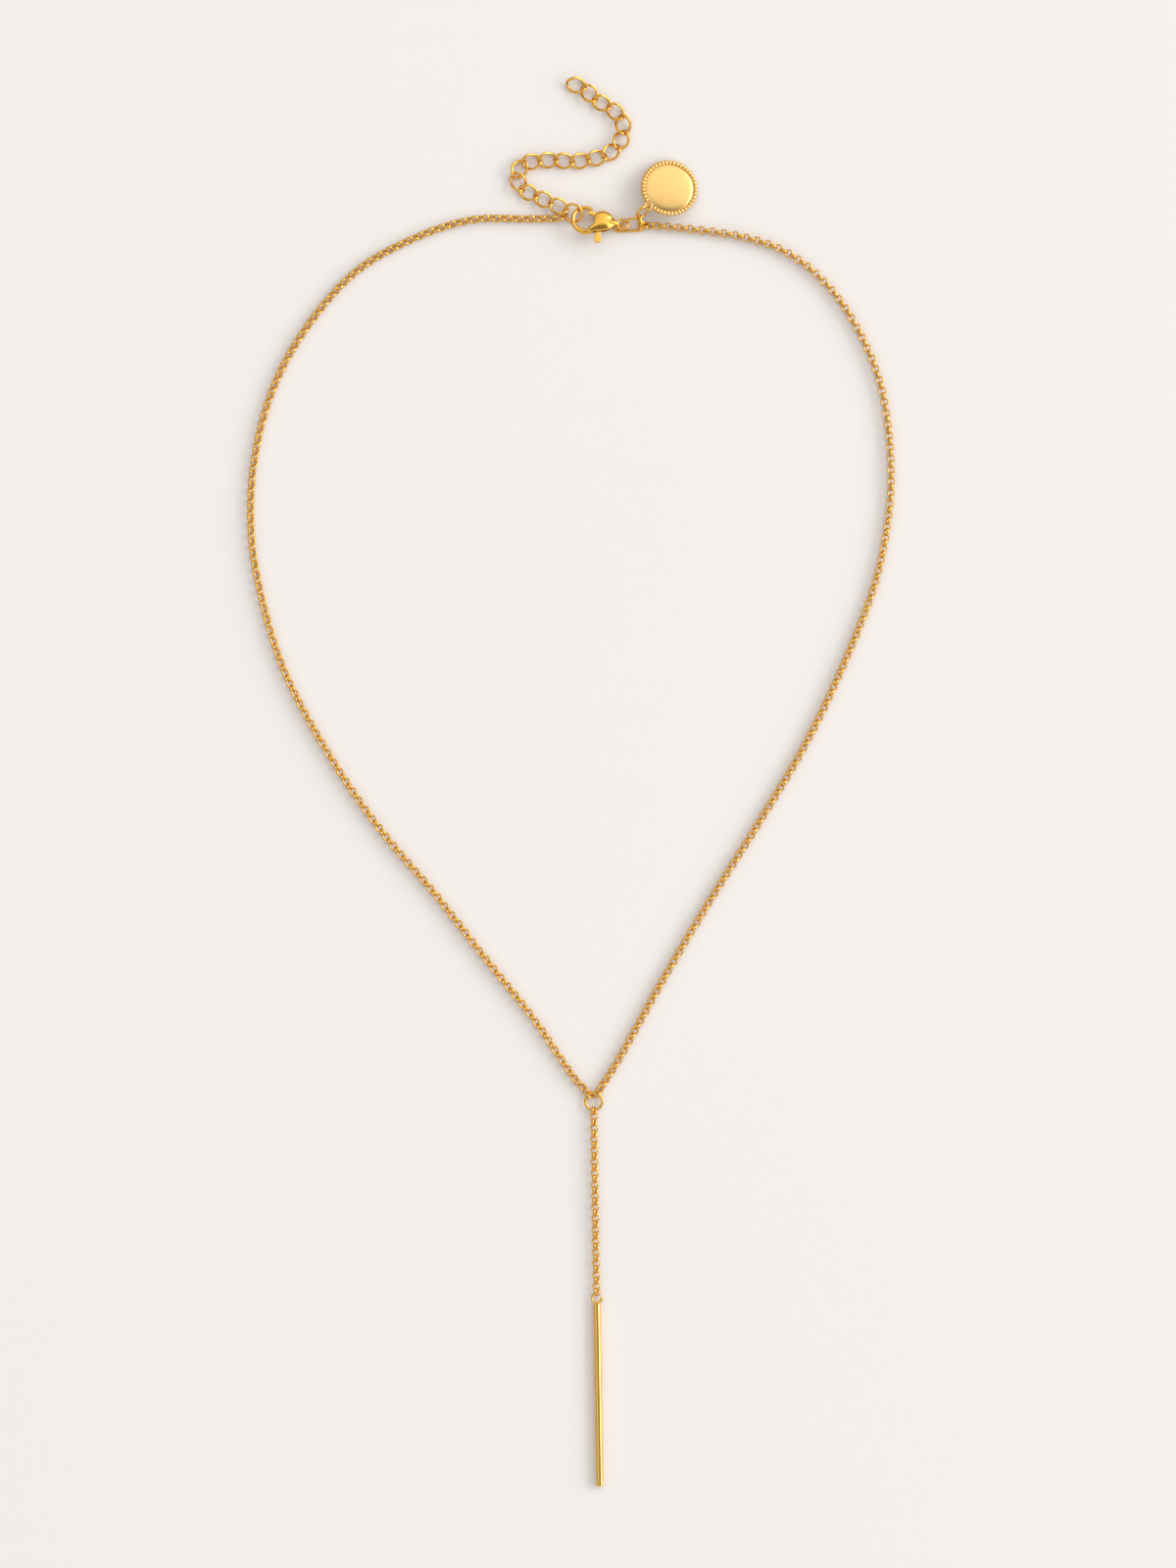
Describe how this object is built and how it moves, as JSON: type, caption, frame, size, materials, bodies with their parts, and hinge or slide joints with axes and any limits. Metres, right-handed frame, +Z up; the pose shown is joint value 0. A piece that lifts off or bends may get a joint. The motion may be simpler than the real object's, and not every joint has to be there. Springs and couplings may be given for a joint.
{
  "type": "y necklace",
  "caption": "Fine-chain Y necklace laid flat, with a slim bar on a short drop chain, a lobster clasp, an extender chain and a round beaded tag.",
  "frame": {"origin": "middle of the necklace's outline on the surface that it lies on", "axes": "+Z up out of the surface, +Y from the bar pendant towards the clasp, +X to the right as seen from above"},
  "size_m": [0.1125, 0.2443, 0.0041],
  "materials": {
    "gold": "polished gold plating",
    "pale_gold": "polished gold plating, a little paler",
    "deep_gold": "polished gold plating in shade"
  },
  "bodies": {
    "necklace": {"chain_left": "gold", "chain_right": "gold", "left_top_link": "gold", "left_foot_link": "gold", "right_top_link": "gold", "right_foot_link": "gold", "junction_ring": "gold", "drop_chain": "gold", "bar_pendant": "pale_gold", "end_ring": "gold", "clasp_body": "gold", "clasp_rivet": "deep_gold", "connector": "gold", "chain_ring": "gold", "tag_ring": "gold", "tag": "pale_gold", "extender_link_1": "gold", "extender_link_2": "gold", "extender_link_3": "gold", "extender_link_4": "gold", "extender_link_5": "gold", "extender_link_6": "gold", "extender_link_7": "gold", "extender_link_8": "gold", "extender_link_9": "gold", "extender_link_10": "gold", "extender_link_11": "gold", "extender_link_12": "gold", "extender_link_13": "gold", "extender_link_14": "gold", "extender_link_15": "gold", "extender_link_16": "gold", "extender_link_17": "gold"},
    "clasp_lever": {"clasp_lever": "gold"}
  },
  "joints": [
    {"name": "clasp_lever", "type": "hinge", "parent": "necklace", "child": "clasp_lever", "pos_m": [0.00472, 0.09565, 0.00162], "axis": [0.0758, 0.2353, 0.969], "range_deg": [0, 15], "stiffness_Nm_per_rad": 0.004, "springref_deg": -11.46}
  ]
}
